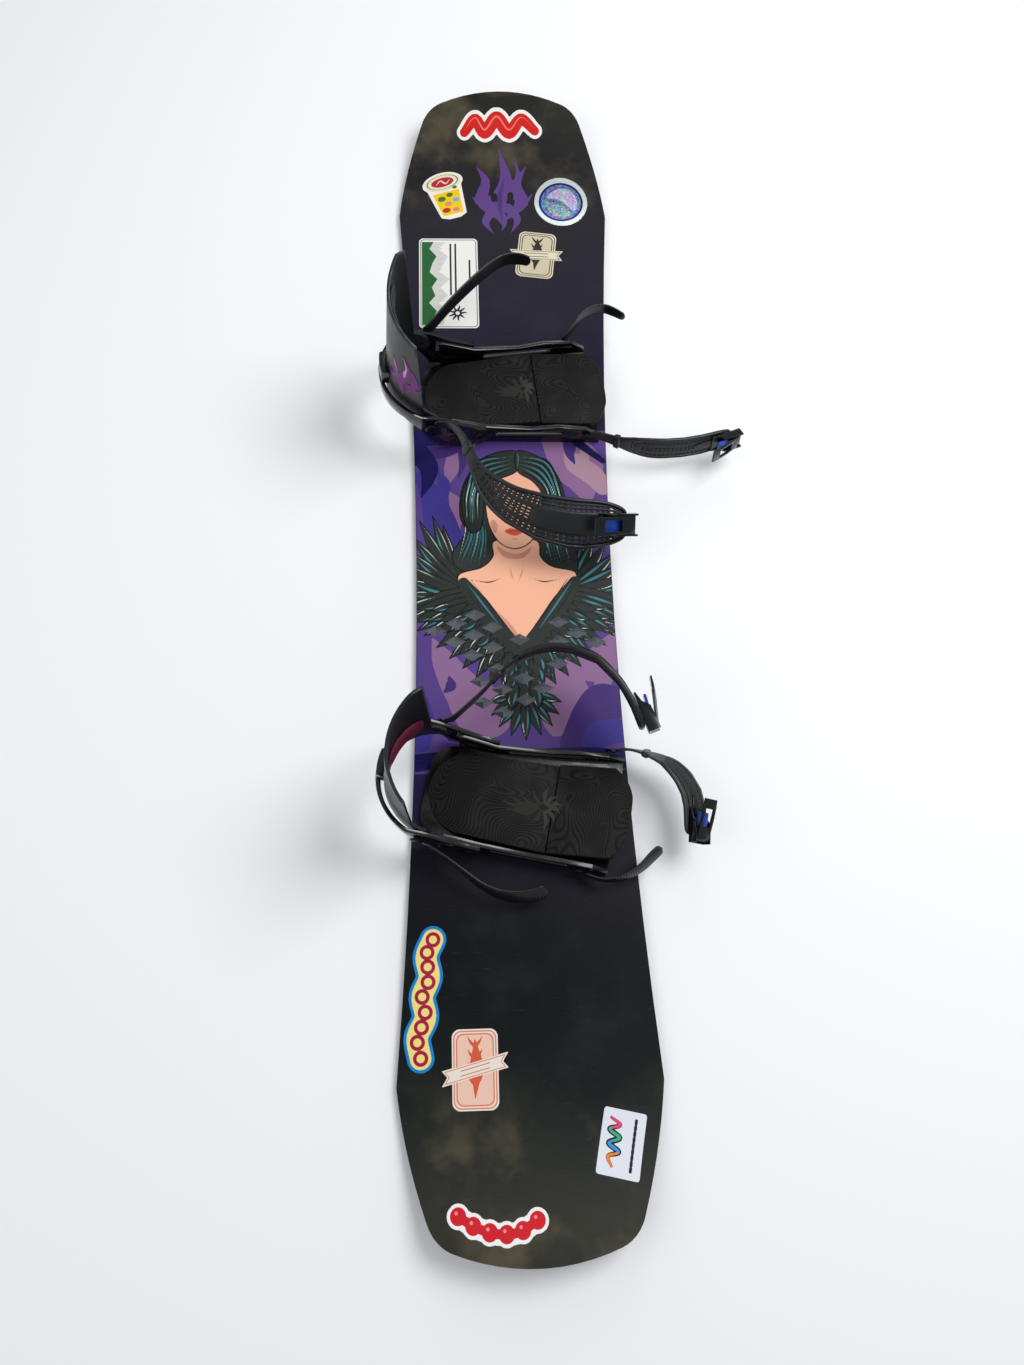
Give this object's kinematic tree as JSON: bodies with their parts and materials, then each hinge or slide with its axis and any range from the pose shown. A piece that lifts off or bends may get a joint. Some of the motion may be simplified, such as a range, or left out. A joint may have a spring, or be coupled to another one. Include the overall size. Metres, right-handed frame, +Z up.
{
  "type": "snowboard with strap bindings",
  "caption": "Snowboard with kicked-up blunt nose and tail, curved sidecuts and a pair of turned strap bindings with highbacks, ladder straps and ratchet buckles.",
  "frame": {"origin": "centre of the flat running base, on the surface the board lies on", "axes": "+Z up out of the deck, +Y towards the nose, +X towards the toe side edge"},
  "size_m": [0.4776, 1.5408, 0.2607],
  "materials": {
    "base_plastic": "waxed sintered base",
    "edge_steel": "ground",
    "laminate": "glass fibre in resin",
    "core_wood": "strips",
    "sidewall_plastic": "satin",
    "topsheet_print": "printed, satin gloss",
    "fastener_steel": "zinc plated",
    "stud_plastic": "hard moulded",
    "nylon_black": "glass-filled nylon",
    "footbed_foam": "textured foam rubber",
    "hoop_metal": "glossy composite",
    "fastener_black": "black oxide",
    "nylon_satin": "satin",
    "strap_plastic": "flexible",
    "strap_pad": "perforated pad",
    "buckle_metal": "satin black",
    "pawl_blue": "moulded"
  },
  "bodies": {
    "board": {"base_sheet": "base_plastic", "steel_edges": "edge_steel", "lower_laminate": "laminate", "sidewalls": "sidewall_plastic", "wood_core": "core_wood", "upper_laminate": "laminate", "topsheet": "topsheet_print", "insert_nuts_front": "fastener_steel", "insert_nuts_rear": "fastener_steel", "stomp_studs": "stud_plastic", "front_baseplate": "nylon_black", "front_mounting_disc": "nylon_black", "front_disc_screws": "fastener_steel", "front_heel_pad": "footbed_foam", "front_toe_pad": "footbed_foam", "front_heel_hoop": "hoop_metal", "front_heel_bolts": "fastener_black", "front_toe_bolts": "fastener_black", "front_hoop_screws": "fastener_black", "rear_baseplate": "nylon_black", "rear_mounting_disc": "nylon_black", "rear_disc_screws": "fastener_steel", "rear_heel_pad": "footbed_foam", "rear_toe_pad": "footbed_foam", "rear_heel_hoop": "hoop_metal", "rear_heel_bolts": "fastener_black", "rear_toe_bolts": "fastener_black", "rear_hoop_screws": "fastener_black"},
    "front_highback_swing": {"front_highback": "nylon_satin"},
    "front_lean_block": {"front_lean_adjuster": "nylon_black"},
    "front_ankle_strap_swing": {"front_ankle_arm": "strap_plastic", "front_ankle_strap": "strap_pad", "front_ankle_buckle": "buckle_metal"},
    "front_ankle_lever_swing": {"front_ankle_lever": "buckle_metal"},
    "front_ankle_pawl_swing": {"front_ankle_pawl": "pawl_blue"},
    "front_ankle_ladder_swing": {"front_ankle_ladder": "strap_plastic"},
    "front_toe_strap_swing": {"front_toe_arm": "strap_plastic", "front_toe_strap": "strap_pad", "front_toe_buckle": "buckle_metal"},
    "front_toe_lever_swing": {"front_toe_lever": "buckle_metal"},
    "front_toe_pawl_swing": {"front_toe_pawl": "pawl_blue"},
    "front_toe_ladder_swing": {"front_toe_ladder": "strap_plastic"},
    "rear_highback_swing": {"rear_highback": "nylon_satin"},
    "rear_lean_block": {"rear_lean_adjuster": "nylon_black"},
    "rear_ankle_strap_swing": {"rear_ankle_arm": "strap_plastic", "rear_ankle_strap": "strap_pad", "rear_ankle_buckle": "buckle_metal"},
    "rear_ankle_lever_swing": {"rear_ankle_lever": "buckle_metal"},
    "rear_ankle_pawl_swing": {"rear_ankle_pawl": "pawl_blue"},
    "rear_ankle_ladder_swing": {"rear_ankle_ladder": "strap_plastic"},
    "rear_toe_strap_swing": {"rear_toe_arm": "strap_plastic", "rear_toe_strap": "strap_pad", "rear_toe_buckle": "buckle_metal"},
    "rear_toe_lever_swing": {"rear_toe_lever": "buckle_metal"},
    "rear_toe_pawl_swing": {"rear_toe_pawl": "pawl_blue"},
    "rear_toe_ladder_swing": {"rear_toe_ladder": "strap_plastic"}
  },
  "joints": [
    {"name": "front_highback_fold", "type": "hinge", "parent": "board", "child": "front_highback_swing", "pos_m": [-0.11139, 0.27429, 0.068], "axis": [-0.1045, 0.9945, 0], "range_deg": [0, 80]},
    {"name": "front_lean_slide", "type": "slide", "parent": "front_highback_swing", "child": "front_lean_block", "axis": [0.0867, 0.0091, 0.9962], "range_m": [0, 0.02]},
    {"name": "front_ankle_strap_hinge", "type": "hinge", "parent": "board", "child": "front_ankle_strap_swing", "pos_m": [-0.11139, 0.27429, 0.068], "axis": [0.1045, -0.9945, 0], "range_deg": [0, 50]},
    {"name": "front_ankle_ladder_hinge", "type": "hinge", "parent": "board", "child": "front_ankle_ladder_swing", "pos_m": [-0.11139, 0.27429, 0.068], "axis": [0.1045, -0.9945, 0], "range_deg": [0, 60]},
    {"name": "front_toe_strap_hinge", "type": "hinge", "parent": "board", "child": "front_toe_strap_swing", "pos_m": [0.0915, 0.29562, 0.03], "axis": [0.1045, -0.9945, 0], "range_deg": [0, 50]},
    {"name": "front_toe_ladder_hinge", "type": "hinge", "parent": "board", "child": "front_toe_ladder_swing", "pos_m": [0.07757, 0.29415, 0.03], "axis": [0.1045, -0.9945, 0], "range_deg": [0, 60]},
    {"name": "front_ankle_lever_hinge", "type": "hinge", "parent": "front_ankle_strap_swing", "child": "front_ankle_lever_swing", "pos_m": [0.14405, 0.06098, 0.07774], "axis": [0.0093, 0.8509, 0.5253], "range_deg": [0, 60], "stiffness_Nm_per_rad": 0.02, "springref_deg": -11.46},
    {"name": "front_ankle_pawl_hinge", "type": "hinge", "parent": "front_ankle_strap_swing", "child": "front_ankle_pawl_swing", "pos_m": [0.12694, 0.06082, 0.0783], "axis": [0.0093, 0.8509, 0.5253], "range_deg": [0, 12], "stiffness_Nm_per_rad": 0.01, "springref_deg": -11.46},
    {"name": "front_toe_lever_hinge", "type": "hinge", "parent": "front_toe_strap_swing", "child": "front_toe_lever_swing", "pos_m": [0.29894, 0.1996, 0.04388], "axis": [-0.0533, 0.2753, 0.9599], "range_deg": [0, 60], "stiffness_Nm_per_rad": 0.02, "springref_deg": -11.46},
    {"name": "front_toe_pawl_hinge", "type": "hinge", "parent": "front_toe_strap_swing", "child": "front_toe_pawl_swing", "pos_m": [0.28489, 0.19582, 0.04418], "axis": [-0.0533, 0.2753, 0.9599], "range_deg": [0, 12], "stiffness_Nm_per_rad": 0.01, "springref_deg": -11.46},
    {"name": "rear_highback_fold", "type": "hinge", "parent": "board", "child": "rear_highback_swing", "pos_m": [-0.10955, -0.25571, 0.068], "axis": [0.2079, 0.9781, 0], "range_deg": [0, 80]},
    {"name": "rear_lean_slide", "type": "slide", "parent": "rear_highback_swing", "child": "rear_lean_block", "axis": [0.0853, -0.0181, 0.9962], "range_m": [0, 0.02]},
    {"name": "rear_ankle_strap_hinge", "type": "hinge", "parent": "board", "child": "rear_ankle_strap_swing", "pos_m": [-0.10955, -0.25571, 0.068], "axis": [-0.2079, -0.9781, 0], "range_deg": [0, 45]},
    {"name": "rear_ankle_ladder_hinge", "type": "hinge", "parent": "board", "child": "rear_ankle_ladder_swing", "pos_m": [-0.10955, -0.25571, 0.068], "axis": [-0.2079, -0.9781, 0], "range_deg": [0, 60]},
    {"name": "rear_toe_strap_hinge", "type": "hinge", "parent": "board", "child": "rear_toe_strap_swing", "pos_m": [0.08999, -0.29813, 0.03], "axis": [-0.2079, -0.9781, 0], "range_deg": [0, 30]},
    {"name": "rear_toe_ladder_hinge", "type": "hinge", "parent": "board", "child": "rear_toe_ladder_swing", "pos_m": [0.0763, -0.29522, 0.03], "axis": [-0.2079, -0.9781, 0], "range_deg": [0, 60]},
    {"name": "rear_ankle_lever_hinge", "type": "hinge", "parent": "rear_ankle_strap_swing", "child": "rear_ankle_lever_swing", "pos_m": [0.14899, -0.20467, 0.11039], "axis": [0.1438, 0.1131, -0.9831], "range_deg": [0, 60], "stiffness_Nm_per_rad": 0.02, "springref_deg": -11.46},
    {"name": "rear_ankle_pawl_hinge", "type": "hinge", "parent": "rear_ankle_strap_swing", "child": "rear_ankle_pawl_swing", "pos_m": [0.14137, -0.18936, 0.11104], "axis": [0.1438, 0.1131, -0.9831], "range_deg": [0, 12], "stiffness_Nm_per_rad": 0.01, "springref_deg": -11.46},
    {"name": "rear_toe_lever_hinge", "type": "hinge", "parent": "rear_toe_strap_swing", "child": "rear_toe_lever_swing", "pos_m": [0.20384, -0.32781, 0.05653], "axis": [0.8454, -0.072, -0.5293], "range_deg": [0, 60], "stiffness_Nm_per_rad": 0.02, "springref_deg": -11.46},
    {"name": "rear_toe_pawl_hinge", "type": "hinge", "parent": "rear_toe_strap_swing", "child": "rear_toe_pawl_swing", "pos_m": [0.20461, -0.3133, 0.05577], "axis": [0.8454, -0.072, -0.5293], "range_deg": [0, 12], "stiffness_Nm_per_rad": 0.01, "springref_deg": -11.46}
  ]
}
